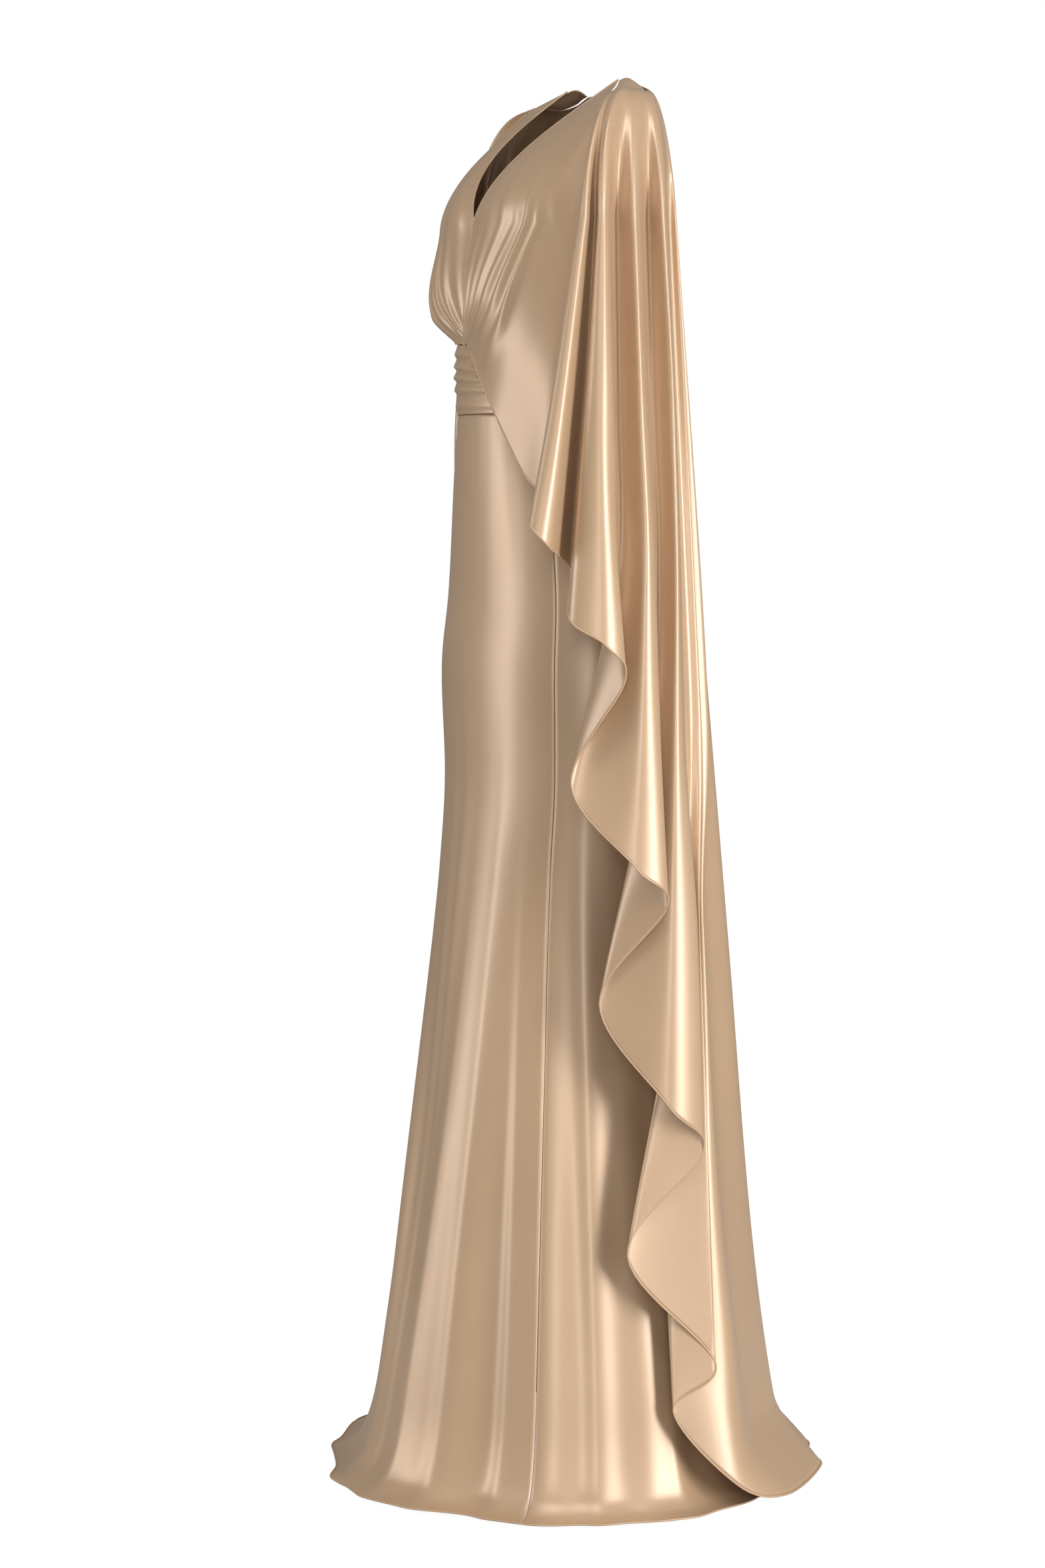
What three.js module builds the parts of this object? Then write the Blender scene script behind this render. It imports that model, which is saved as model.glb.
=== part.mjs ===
// Cape sleeve maxi dress in satin, standing as it is worn, every opening empty.
// Millimetres, +Z up. x runs to the wearer's left and the front faces -y.
// Heights in the tables are above the floor. The finished group is lowered by
// SHOULDER, so that the origin lies at the shoulders, where the wearer holds it.
import * as THREE from 'three';

const SHOULDER = 1545;
const WALL = 2;
const SEAM_GAP = 0.3;
const WAIST_TOP = 1271;
const WAIST_BOTTOM = 1194;
const SIDE_SEAM = 53;
const BAND_SEAM = 78;
const OVERLAP_STEP = 4.6;
const RAD = Math.PI / 180;
const SATIN = { color: 0xc9ab86, roughness: 0.32, metalness: 0 };

// Skirt outline: half width, and depth in front of and behind the centre.
const SKIRT_SECTIONS = [
  { height: 1193.7, half: 122, front: 124, back: 82 },
  { height: 1122, half: 140, front: 126, back: 98 },
  { height: 1000, half: 163, front: 128, back: 116 },
  { height: 911, half: 172, front: 136, back: 122 },
  { height: 790, half: 168, front: 133, back: 116 },
  { height: 700, half: 166, front: 140, back: 118 },
  { height: 608, half: 172, front: 150, back: 126 },
  { height: 454, half: 190, front: 168, back: 138 },
  { height: 300, half: 210, front: 188, back: 150 },
  { height: 145, half: 234, front: 210, back: 166 },
  { height: 72, half: 245, front: 222, back: 180 },
  { height: 30, half: 257, front: 236, back: 200 },
  { height: 11, half: 272, front: 254, back: 222 },
  { height: 5, half: 290, front: 274, back: 242 },
];

// Flutes that open below the knee. before and after are a flute's widths on the two
// sides of its crest, and drift is how far it leans by the hem.
const SKIRT_FLUTES = [
  { angle: -175, before: 10, after: 10, lift: 5, start: 560, drift: 0 },
  { angle: -143, before: 10, after: 10, lift: 6, start: 600, drift: 2 },
  { angle: -112, before: 10, after: 10, lift: 8, start: 640, drift: 2 },
  { angle: -84, before: 10, after: 12, lift: 12, start: 600, drift: -3 },
  { angle: -54, before: 8, after: 12, lift: 15, start: 700, drift: -3 },
  { angle: -20, before: 7, after: 8, lift: 21, start: 700, drift: 17 },
  { angle: 17, before: 6, after: 15, lift: 23, start: 760, drift: -4 },
  { angle: 53, before: 9, after: 12, lift: 15, start: 700, drift: 3 },
  { angle: 84, before: 10, after: 10, lift: 10, start: 600, drift: 3 },
  { angle: 112, before: 10, after: 10, lift: 6, start: 640, drift: 2 },
  { angle: 143, before: 10, after: 10, lift: 6, start: 600, drift: -2 },
];
const FLUTE_MEAN = 0.05;
const FLUTE_FULL = 60;

// Folded pleats across the front of the waistband, from the photo's left edge.
const BAND_PLEATS = [
  { height: 1262, below: 3, above: 7, lift: 2.8, slope: -0.10 },
  { height: 1249, below: 3, above: 7, lift: 3.6, slope: -0.16 },
  { height: 1236, below: 3, above: 7, lift: 4.0, slope: -0.12 },
  { height: 1222, below: 3, above: 8, lift: 3.2, slope: -0.06 },
  { height: 1203, below: 4, above: 9, lift: 1.8, slope: 0 },
];

// Back and sides of the bodice, under the cape.
const BODICE_SECTIONS = [
  { height: 1271.4, half: 121, back: 84 },
  { height: 1364, half: 136, back: 90 },
  { height: 1440, half: 133, back: 84 },
  { height: 1500, half: 124, back: 74 },
  { height: 1532, half: 108, back: 62 },
];

// Top edge of the bodice by angle from the front, under the arm and up the back.
const BODICE_TOP = [
  { angle: 66, height: 1384 },
  { angle: 92, height: 1372 },
  { angle: 112, height: 1440 },
  { angle: 128, height: 1516 },
  { angle: 150, height: 1530 },
  { angle: 180, height: 1530 },
];

// Rim of the shoulder, walked from the side of the neck over the arm to the back.
const SHOULDER_RIM = [
  { share: 0.00, x: 65, y: 30, height: 1562 },
  { share: 0.13, x: 90, y: 12, height: 1550 },
  { share: 0.20, x: 100, y: 3, height: 1544 },
  { share: 0.27, x: 109, y: 2, height: 1542 },
  { share: 0.40, x: 112, y: 18, height: 1548 },
  { share: 0.56, x: 106, y: 42, height: 1546 },
  { share: 0.74, x: 84, y: 55, height: 1551 },
  { share: 0.84, x: 62, y: 57, height: 1557 },
  { share: 1.00, x: 0, y: 66, height: 1549 },
];

// Cape, one row for each line where the cloth turns or a fold stands. rim is where
// it leaves the shoulder, chest is x and y at chest height, and down holds x, y and
// height of the points below, the hem last.
const CHEST = 1400;
const CAPE_LEFT = [
  { line: 'neckline', rim: 0.00, chest: [2, -118], down: [[9, -131.5, 1335], [-6, -126, 1271.5]] },
  { line: 'inner_drape', rim: 0.06, chest: [52, -123], down: [[34, -132.5, 1330], [0, -126.4, 1271.4]] },
  { line: 'bust_drape', rim: 0.12, chest: [98, -112], down: [[64, -132, 1320], [9, -127.4, 1271.3]] },
  { line: 'under_drape', rim: 0.17, chest: [122, -99], down: [[92, -124, 1305], [30, -127.6, 1246]] },
  { line: 'waist_edge', rim: 0.21, chest: [140, -86], down: [[112, -113, 1290], [66, -122, 1196]] },
  { line: 'hip_edge', rim: 0.25, chest: [158, -70], down: [[148, -90, 1250], [106, -98, 1120]] },
  { line: 'arm_crease', rim: 0.28, chest: [176, -52], down: [[182, -68, 1230], [178, -90, 1097]] },
  { line: 'fold_1', rim: 0.31, chest: [190, -78], down: [[217, -126, 1197], [235, -158, 1079]] },
  { line: 'crest_1', rim: 0.325, chest: [199, -74], down: [[234, -117, 1197], [255, -145, 1051]] },
  { line: 'crease_1', rim: 0.34, chest: [183, -56], down: [[207, -81, 1197], [213, -99, 1025]] },
  { line: 'fold_2', rim: 0.365, chest: [201, -62], down: [[236, -94, 1197], [262, -124, 975]] },
  { line: 'crest_2', rim: 0.39, chest: [208, -60], down: [[252, -84, 1197], [292, -95, 947]] },
  { line: 'turn_2', rim: 0.415, chest: [204, -51], down: [[247, -66, 1197], [268, -70, 1029], [282, -69, 909]] },
  { line: 'crease_3', rim: 0.44, chest: [175, -26], down: [[208, -40, 1197], [229, -49, 1029], [225, -104, 798]] },
  { line: 'crest_3', rim: 0.465, chest: [200, -20], down: [[237, -30, 1197], [261, -36, 1029], [272, -50, 710]] },
  { line: 'turn_3', rim: 0.49, chest: [196, -10], down: [[230, -17, 1197], [254, -19, 1029], [262, -16, 850], [267, -10, 667]] },
  { line: 'crease_4', rim: 0.515, chest: [170, 14], down: [[199, 5, 1197], [218, 3, 1029], [224, -7, 850], [211, -63, 558]] },
  { line: 'crest_4', rim: 0.535, chest: [194, 18], down: [[223, 15, 1197], [242, 12, 1029], [251, 7, 850], [268, -8, 451]] },
  { line: 'turn_4', rim: 0.555, chest: [188, 28], down: [[217, 24, 1197], [241, 24, 850], [254, 34, 632], [262, 37, 397]] },
  { line: 'crease_5', rim: 0.58, chest: [158, 46], down: [[207, 46, 850], [229, 27, 632], [244, -45, 287]] },
  { line: 'turn_5', rim: 0.62, chest: [162, 52], down: [[206, 63, 850], [240, 44, 632], [268, 50, 165]] },
  { line: 'crease_6', rim: 0.65, chest: [136, 56], down: [[176, 64, 850], [206, 46, 600], [236, 6, 287], [262, 2, 115]] },
  { line: 'tip', rim: 0.69, chest: [138, 66], down: [[174, 89, 850], [216, 62, 632], [240, 64, 363], [264, 71, 150], [288, 69, 32]] },
  { line: 'crease_7', rim: 0.73, chest: [112, 64], down: [[152, 94, 600], [226, 116, 90], [268, 140, 9]] },
  { line: 'back_fold_1', rim: 0.78, chest: [98, 78], down: [[112, 148, 600], [150, 188, 90], [172, 238, 6]] },
  { line: 'back_crease_1', rim: 0.84, chest: [74, 84], down: [[82, 144, 600], [106, 188, 90], [128, 246, 9]] },
  { line: 'back_fold_2', rim: 0.89, chest: [46, 95], down: [[48, 170, 600], [62, 216, 90], [74, 276, 6]] },
  { line: 'back_crease_2', rim: 0.95, chest: [22, 93], down: [[24, 156, 600], [30, 202, 90], [34, 264, 9]] },
  { line: 'centre_back', rim: 1.00, chest: [0.2, 97], down: [[0.2, 170, 600], [0.2, 216, 90], [0.2, 280, 6]] },
];

// The right side, where the arm hangs straight, differs in these rows.
const CAPE_RIGHT_CHANGES = [
  { line: 'neckline', rim: 0.00, chest: [2, -118], down: [[-18, -131.5, 1335], [-10, -126, 1274]] },
  { line: 'bust_drape', rim: 0.12, chest: [98, -112], down: [[64, -132, 1320], [12, -126, 1273]] },
  { line: 'under_drape', rim: 0.17, chest: [122, -99], down: [[92, -124, 1305], [40, -121, 1273.5]] },
  { line: 'waist_edge', rim: 0.21, chest: [134, -80], down: [[112, -104, 1310], [90, -92, 1273]] },
  { line: 'hip_edge', rim: 0.25, chest: [152, -54], down: [[144, -62, 1290], [130, -54, 1204]] },
  { line: 'arm_crease', rim: 0.28, chest: [166, -34], down: [[178, -28, 1230], [178, -18, 1110]] },
  { line: 'fold_1', rim: 0.31, chest: [180, -42], down: [[206, -46, 1197], [220, -40, 1079]] },
  { line: 'crest_1', rim: 0.325, chest: [186, -36], down: [[216, -34, 1197], [232, -24, 1051]] },
  { line: 'crease_1', rim: 0.34, chest: [172, -20], down: [[200, -12, 1197], [212, 4, 1025]] },
  { line: 'fold_2', rim: 0.365, chest: [184, -26], down: [[224, -26, 1197], [248, -26, 975]] },
  { line: 'crest_2', rim: 0.39, chest: [192, -22], down: [[238, -14, 1197], [272, -10, 947]] },
  { line: 'turn_2', rim: 0.415, chest: [190, -16], down: [[236, -2, 1197], [272, -2, 909]] },
  { line: 'crease_3', rim: 0.44, chest: [168, 2], down: [[206, 4, 1060], [226, -30, 798]] },
  { line: 'crest_3', rim: 0.465, chest: [188, 8], down: [[228, 8, 1029], [262, -14, 710]] },
  { line: 'turn_3', rim: 0.49, chest: [188, 14], down: [[230, 18, 1029], [262, 4, 667]] },
  { line: 'crease_4', rim: 0.515, chest: [166, 24], down: [[200, 24, 1029], [214, 0, 800], [219, -24, 558]] },
  { line: 'crest_4', rim: 0.535, chest: [190, 30], down: [[232, 34, 1029], [250, 28, 850], [262, 22, 632], [268, 4, 451]] },
  { line: 'turn_4', rim: 0.555, chest: [182, 40], down: [[232, 46, 1029], [246, 40, 632], [262, 38, 397]] },
];

// How the cape leaves the shoulder: the neckline's bow, how late the folds stand out
// from the smooth cloth, and the line where the folds begin.
const NECK_BOW = 1.35;
const RELIEF_BOW = 1.5;
const ARM_LINE = 6;

// Fine gathers of the drape, drawn together at the centre of the waist.
const GATHERS = { waves: 7, lift: 2.8, start: 1440, full: 1300, end: 0.3, lastLine: 4 };

// Rows of the cape by share of the fall, closest at the shoulder and at the hem.
const CAPE_ROWS = [0, 0.01, 0.03, 0.07, 0.13, 0.22, 0.35, 0.5, 0.66, 0.82, 0.94, 0.98, 1];

const clamp01 = (value) => Math.min(1, Math.max(0, value));
const smooth = (value) => clamp01(value) ** 2 * (3 - 2 * clamp01(value));

// Value at `at` on a smooth curve through (keys[i], values[i]) that never overshoots.
function monotone(keys, values, at) {
  const last = keys.length - 1;
  const rate = (i) => (values[i + 1] - values[i]) / (keys[i + 1] - keys[i]);
  const tangent = (i) => {
    if (i === 0) return rate(0);
    if (i === last) return rate(last - 1);
    const before = rate(i - 1);
    const after = rate(i);
    return before * after <= 0 ? 0 : (2 * before * after) / (before + after);
  };
  const rising = keys[last] > keys[0];
  let i = 0;
  while (i < last - 1 && (rising ? at > keys[i + 1] : at < keys[i + 1])) i += 1;
  const span = keys[i + 1] - keys[i];
  const s = clamp01((at - keys[i]) / span);
  const a = values[i] * (1 + 2 * s) * (1 - s) ** 2 + values[i + 1] * s * s * (3 - 2 * s);
  const b = tangent(i) * s * (1 - s) ** 2 - tangent(i + 1) * s * s * (1 - s);
  return a + b * span;
}

const column = (rows, key, name, at) => monotone(rows.map((r) => r[key]), rows.map((r) => r[name]), at);

// Catmull-Rom point at u between the rows of a list of [x, y, z] points.
function between(points, u) {
  const last = points.length - 1;
  const i = Math.min(last - 1, Math.max(0, Math.floor(u)));
  const s = u - i;
  const p = [i - 1, i, i + 1, i + 2].map((k) => points[Math.min(last, Math.max(0, k))]);
  return [0, 1, 2].map((k) => {
    const slope = (p[2][k] - p[0][k]) / 2;
    const next = (p[3][k] - p[1][k]) / 2;
    const turn = p[2][k] - p[1][k];
    return p[1][k] + s * (slope + s * (3 * turn - 2 * slope - next + s * (slope + next - 2 * turn)));
  });
}

// Cloth panel: surface(u, v) gives its outer face, and the wall lies inside it.
function panel(name, surface, us, vs, inward = 1) {
  const step = 1e-4;
  const normal = (u, v) => {
    const du = new THREE.Vector3(...surface(u + step, v)).sub(new THREE.Vector3(...surface(u - step, v)));
    const dv = new THREE.Vector3(...surface(u, v + step)).sub(new THREE.Vector3(...surface(u, v - step)));
    return du.cross(dv).normalize().multiplyScalar(inward);
  };
  const rows = vs.length;
  const outer = us.flatMap((u) => vs.map((v) => surface(u, v)));
  const inner = us.flatMap((u) => vs.map((v) => {
    const n = normal(u, v);
    const p = surface(u, v);
    return [p[0] + n.x * WALL, p[1] + n.y * WALL, p[2] + n.z * WALL];
  }));
  const at = (i, j, side) => side * outer.length + i * rows + j;
  const faces = [];
  const quad = (a, b, c, d) => faces.push(a, b, c, a, c, d);
  for (let i = 0; i < us.length - 1; i += 1) {
    for (let j = 0; j < rows - 1; j += 1) {
      quad(at(i, j, 0), at(i, j + 1, 0), at(i + 1, j + 1, 0), at(i + 1, j, 0));
      quad(at(i, j, 1), at(i + 1, j, 1), at(i + 1, j + 1, 1), at(i, j + 1, 1));
    }
    quad(at(i, 0, 0), at(i + 1, 0, 0), at(i + 1, 0, 1), at(i, 0, 1));
    quad(at(i, rows - 1, 0), at(i, rows - 1, 1), at(i + 1, rows - 1, 1), at(i + 1, rows - 1, 0));
  }
  const end = us.length - 1;
  for (let j = 0; j < rows - 1; j += 1) {
    quad(at(0, j, 0), at(0, j, 1), at(0, j + 1, 1), at(0, j + 1, 0));
    quad(at(end, j, 0), at(end, j + 1, 0), at(end, j + 1, 1), at(end, j, 1));
  }
  if (inward < 0) faces.reverse();
  const geometry = new THREE.BufferGeometry();
  geometry.setAttribute('position', new THREE.Float32BufferAttribute([...outer, ...inner].flat(), 3));
  geometry.setIndex(faces);
  geometry.computeVertexNormals();
  const mesh = new THREE.Mesh(geometry, new THREE.MeshStandardMaterial(SATIN));
  mesh.name = name;
  mesh.position.z = -SHOULDER;
  return mesh;
}

const steps = (from, to, count) => Array.from({ length: count + 1 }, (_, i) => from + ((to - from) * i) / count);

// Angle across the gap between two panels at a seam, for a given radius.
const seamAngle = (radius) => ((SEAM_GAP + 0.1) / 2 / radius) / RAD;

const wrap = (angle) => ((((angle + 180) % 360) + 360) % 360) - 180;

// Ridge of height 1 with a width of its own on each side of its crest.
const ridge = (off, before, after) => Math.exp(-((off / (off < 0 ? before : after)) ** 2));

// Outer face of the skirt. v counts the rows of SKIRT_SECTIONS.
function skirtFace(angle, v) {
  const rows = SKIRT_SECTIONS.map((r) => [r.half, angleDepth(r, angle), r.height]);
  const [half, depth, height] = between(rows, v);
  let lift = 0;
  for (const f of SKIRT_FLUTES) {
    const grow = smooth((f.start - height) / (f.start - FLUTE_FULL));
    const off = wrap(angle - f.angle - f.drift * grow);
    lift += f.lift * grow * (ridge(off, f.before, f.after) - FLUTE_MEAN);
  }
  const x = half * Math.sin(angle * RAD);
  const y = -depth * Math.cos(angle * RAD);
  const away = Math.hypot(x, y);
  return [x * (1 + lift / away), y * (1 + lift / away), height];
}

const angleDepth = (row, angle) => (Math.cos(angle * RAD) > 0 ? row.front : row.back);

function skirtPanel(name, from, to, count) {
  const gap = seamAngle(SKIRT_SECTIONS[0].half);
  const rows = steps(0, SKIRT_SECTIONS.length - 1, SKIRT_SECTIONS.length - 1);
  return panel(name, skirtFace, steps(from + gap, to - gap, count), rows, 1);
}

// Outer face of the waistband: plain behind, folded into pleats in front. v is the drop.
function bandFace(angle, v) {
  const [lower] = SKIRT_SECTIONS;
  const height = WAIST_TOP - v;
  const fade = smooth((BAND_SEAM - Math.abs(wrap(angle))) / 40);
  let lift = 0.6;
  for (const p of BAND_PLEATS) {
    const off = height - p.height - p.slope * (wrap(angle) + 30);
    lift += p.lift * fade * ridge(off, p.below, p.above);
  }
  const x = (lower.half + lift) * Math.sin(angle * RAD);
  const y = -(angleDepth(lower, angle) + lift) * Math.cos(angle * RAD);
  return [x, y, height];
}

function bandPanel(name, from, to, count, rows) {
  const gap = seamAngle(SKIRT_SECTIONS[0].half);
  const drop = WAIST_TOP - WAIST_BOTTOM - SEAM_GAP;
  return panel(name, bandFace, steps(from + gap, to - gap, count), steps(0, drop, rows), 1);
}

// Outer face of the bodice back. v runs from its top edge down to the waist.
function bodiceFace(angle, v) {
  const side = Math.abs(wrap(angle));
  const top = column(BODICE_TOP, 'angle', 'height', side);
  const height = top + (BODICE_SECTIONS[0].height - top) * v;
  const half = column(BODICE_SECTIONS, 'height', 'half', height);
  const back = column(BODICE_SECTIONS, 'height', 'back', height);
  const depth = Math.cos(angle * RAD) > 0 ? half * 0.86 : back;
  return [half * Math.sin(angle * RAD), -depth * Math.cos(angle * RAD), height];
}

const rimPoint = (share) => ['x', 'y', 'height'].map((name) => column(SHOULDER_RIM, 'share', name, share));

// Chest points with the folds evened out, as the cloth lies near the shoulder.
function calmed(rows) {
  const even = (points) => points.map((p, i) => {
    if (i < ARM_LINE || i === points.length - 1) return p;
    return p.map((value, k) => (points[i - 1][k] + 2 * value + points[i + 1][k]) / 4);
  });
  return even(even(rows.map((row) => row.chest)));
}

// How far a line has reached from the rim to its chest point, in x and in y.
function reaches(row, fall) {
  const slow = Math.sin((fall * Math.PI) / 2);
  const round = Math.sqrt(1 - (1 - fall) ** 2);
  if (row.rim === 0) return [fall ** NECK_BOW, slow];
  if (row.rim < 0.2) return [slow, slow];
  return [round, row.rim < 0.26 ? slow : round];
}

// Point on one line of the cape, t = 0 at the shoulder rim and 1 at the hem.
function capeLine(row, calm, t) {
  const seat = rimPoint(row.rim);
  const below = [[...row.chest, CHEST], ...row.down];
  const height = seat[2] + (below.at(-1)[2] - seat[2]) * t;
  if (height < CHEST) {
    const heights = below.map((p) => p[2]);
    return [0, 1].map((k) => monotone(heights, below.map((p) => p[k]), height)).concat(height);
  }
  const fall = (seat[2] - height) / (seat[2] - CHEST);
  const reach = reaches(row, fall);
  const relief = fall ** RELIEF_BOW;
  const place = (k) => seat[k] + (calm[k] - seat[k]) * reach[k] + (row.chest[k] - calm[k]) * relief;
  return [place(0), place(1), height];
}

// Outer face of one side's drape and cape, u counting its lines from the neckline.
function capeFace(rows, side) {
  const calm = calmed(rows);
  return (u, v) => {
    const t = clamp01(v);
    const along = Math.min(rows.length - 1, Math.max(0, u));
    const p = between(rows.map((row, i) => capeLine(row, calm[i], t)), along);
    const front = clamp01(along / GATHERS.lastLine);
    const low = smooth((GATHERS.start - p[2]) / (GATHERS.start - GATHERS.full));
    const near = low * smooth((1 - t) / GATHERS.end);
    const share = smooth(front * 8) * (1 - front);
    const gather = GATHERS.lift * near * share * Math.sin(front * GATHERS.waves * Math.PI) ** 2;
    const under = side < 0 ? OVERLAP_STEP * (1 - smooth(Math.abs(p[0]) / 60)) : 0;
    return [side * p[0], p[1] - gather + under, p[2]];
  };
}

function capePanel(name, rows, side) {
  const front = steps(0, GATHERS.lastLine, 18);
  const rest = steps(GATHERS.lastLine, rows.length - 1, (rows.length - 1 - GATHERS.lastLine) * 3).slice(1);
  return panel(name, capeFace(rows, side), [...front, ...rest], CAPE_ROWS, side);
}

// Yoke on top of the shoulder, from the front edge of the rim to the back one.
function yokeFace(side) {
  const inset = SEAM_GAP + WALL;
  return (u, v) => {
    const fore = rimPoint(0.01 + 0.36 * u);
    const aft = rimPoint(0.84 - 0.36 * u);
    const p = fore.map((value, k) => value + (aft[k] - value) * (0.09 + 0.82 * v));
    const crown = 5 * Math.sin(Math.PI * v) * (1 - 0.7 * u);
    return [side * (p[0] - inset * u), p[1], p[2] + crown - 0.5];
  };
}

const dress = new THREE.Group();
dress.add(skirtPanel('skirt_front', -SIDE_SEAM, SIDE_SEAM, 28));
dress.add(skirtPanel('skirt_back_left', SIDE_SEAM, 180, 20));
dress.add(skirtPanel('skirt_back_right', 180, 360 - SIDE_SEAM, 20));
dress.add(bandPanel('waistband_front', -BAND_SEAM, BAND_SEAM, 18, 13));
dress.add(bandPanel('waistband_back', BAND_SEAM, 360 - BAND_SEAM, 20, 2));
dress.add(panel('bodice_back', bodiceFace, steps(66, 294, 30), steps(0, 1, 5), 1));
const capeRight = CAPE_LEFT.map((row) => CAPE_RIGHT_CHANGES.find((r) => r.line === row.line) ?? row);
dress.add(capePanel('cape_left', CAPE_LEFT, 1));
dress.add(capePanel('cape_right', capeRight, -1));
dress.add(panel('shoulder_yoke_left', yokeFace(1), steps(0, 0.92, 5), steps(0, 1, 6), 1));
dress.add(panel('shoulder_yoke_right', yokeFace(-1), steps(0, 0.92, 5), steps(0, 1, 6), -1));

export default dress;
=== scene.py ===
"""Cape sleeve maxi dress in champagne satin, shown worn, with every opening empty.

Each cut piece is one thin shell of cloth on its own named surface. The surfaces
are worked out from short tables of sizes in millimetres above the floor, and the
finished meshes are in metres, lowered so that the shoulders lie at the origin.
"""

from __future__ import annotations

import logging
import math
from dataclasses import dataclass, field
from enum import Enum
from typing import Callable, Sequence

import bmesh
import bpy
import numpy as np
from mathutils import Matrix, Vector

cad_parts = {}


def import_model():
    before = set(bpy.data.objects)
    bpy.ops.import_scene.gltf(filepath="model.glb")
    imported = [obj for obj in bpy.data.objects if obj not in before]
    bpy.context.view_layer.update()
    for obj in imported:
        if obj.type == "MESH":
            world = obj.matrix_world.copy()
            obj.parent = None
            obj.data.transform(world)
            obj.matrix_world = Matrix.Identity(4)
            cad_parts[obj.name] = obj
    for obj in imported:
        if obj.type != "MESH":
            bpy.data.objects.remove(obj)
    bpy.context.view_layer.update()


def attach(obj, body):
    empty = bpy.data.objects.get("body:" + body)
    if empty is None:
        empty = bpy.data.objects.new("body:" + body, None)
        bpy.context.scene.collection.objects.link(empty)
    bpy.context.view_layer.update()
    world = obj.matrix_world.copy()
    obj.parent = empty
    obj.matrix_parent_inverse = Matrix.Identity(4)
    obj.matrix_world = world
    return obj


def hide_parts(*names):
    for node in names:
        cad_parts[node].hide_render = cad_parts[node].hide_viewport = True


LOG = logging.getLogger("dress")
SHOULDER = 1545.0
MM = 0.001
FULL_TURN = 360.0
BODY = "root"

Surface = Callable[[np.ndarray, np.ndarray], np.ndarray]


class Side(Enum):
    """The wearer's left or right, as the sign of x."""

    LEFT = 1
    RIGHT = -1


def smooth(value: np.ndarray | float) -> np.ndarray:
    """Eases a value from 0 to 1, held at both ends."""
    held = np.clip(value, 0.0, 1.0)
    return held * held * (3.0 - 2.0 * held)


def bump(distance: np.ndarray, width: float) -> np.ndarray:
    """Round ridge, 1 at distance 0 and almost 0 past twice its width."""
    return np.exp(-((distance / width) ** 2))


def lopsided(distance: np.ndarray, before: float, after: float) -> np.ndarray:
    """Ridge that is steeper on one side of its crest than on the other."""
    return bump(distance, np.where(distance < 0, before, after))


def wrap(angle: np.ndarray | float) -> np.ndarray:
    """Brings an angle in degrees between -180 and 180."""
    return np.mod(np.asarray(angle) + FULL_TURN / 2, FULL_TURN) - FULL_TURN / 2


def monotone(keys: Sequence[float], values: Sequence[float], at: np.ndarray) -> np.ndarray:
    """Smooth curve through the points that never overshoots them.

    Args:
        keys: Where the points lie, rising or falling.
        values: The value at each key.
        at: Where the curve is read.

    Returns:
        The curve's value at each place of `at`.
    """
    k = np.asarray(keys, float)
    w = np.asarray(values, float)
    if k[0] > k[-1]:
        k, w = k[::-1], w[::-1]
    rate = np.diff(w) / np.diff(k)
    tangent = np.empty(len(k))
    tangent[0], tangent[-1] = rate[0], rate[-1]
    for i in range(1, len(k) - 1):
        before, after = rate[i - 1], rate[i]
        level = before * after <= 0
        tangent[i] = 0.0 if level else 2.0 * before * after / (before + after)
    at = np.clip(at, k[0], k[-1])
    i = np.clip(np.searchsorted(k, at, side="right") - 1, 0, len(k) - 2)
    span = k[i + 1] - k[i]
    s = (at - k[i]) / span
    ends = w[i] * (1 + 2 * s) * (1 - s) ** 2 + w[i + 1] * s * s * (3 - 2 * s)
    return ends + span * (tangent[i] * s * (1 - s) ** 2 - tangent[i + 1] * s * s * (1 - s))


def between(points: np.ndarray, u: np.ndarray) -> np.ndarray:
    """Catmull-Rom curve through rows of points.

    Args:
        points: Rows of points along the first axis.
        u: Places counted in rows.

    Returns:
        One point for each place of `u`, along the first axis.
    """
    last = len(points) - 1
    i = np.clip(np.floor(u).astype(int), 0, last - 1)
    s = (u - i).reshape((-1,) + (1,) * (points.ndim - 1))
    before, start = points[np.clip(i - 1, 0, last)], points[i]
    end, after = points[i + 1], points[np.clip(i + 2, 0, last)]
    slope, leave, turn = (end - before) / 2, (after - start) / 2, end - start
    return start + s * (slope + s * (3 * turn - 2 * slope - leave + s * (slope + leave - 2 * turn)))


@dataclass(frozen=True)
class SkirtSection:
    """Outline of the skirt at one height, in millimetres."""

    height: float
    half: float
    front: float
    back: float


@dataclass(frozen=True)
class Panel:
    """One panel of the skirt between two seams, in degrees from the front.

    count is the number of places across it, carrier is the band that it hangs
    from, and width, length and area are its flat cut in metres.
    """

    node: str
    start: float
    stop: float
    count: int
    carrier: str
    width: float
    length: float
    area: float


@dataclass(frozen=True)
class Flute:
    """One standing fold of the skirt, by its angle from the front in degrees.

    before and after are its widths on the two sides of the crest, lift is how
    far it stands out, start is the height where it begins, and drift is how far
    it leans by the hem.
    """

    angle: float
    before: float
    after: float
    lift: float
    start: float
    drift: float


@dataclass(frozen=True)
class Pleat:
    """One pleat folded across the waistband, with its widths below and above.

    slope is how much it rises for each degree round the band.
    """

    height: float
    below: float
    above: float
    lift: float
    slope: float


@dataclass(frozen=True)
class CapeLine:
    """One line of the cape, where the cloth turns or a fold stands.

    rim is its share of the way round the shoulder, chest is x and y at chest
    height, and down holds x, y and height of the points below, the hem last.
    """

    name: str
    rim: float
    chest: tuple[float, float]
    down: tuple[tuple[float, float, float], ...]


@dataclass(frozen=True)
class DrapeFold:
    """One fold of the front drape that runs up from the gather.

    place is its share of the way from the neckline to the waist edge, and top is
    the height where it fades out.
    """

    place: float
    before: float
    after: float
    lift: float
    top: float


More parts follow.
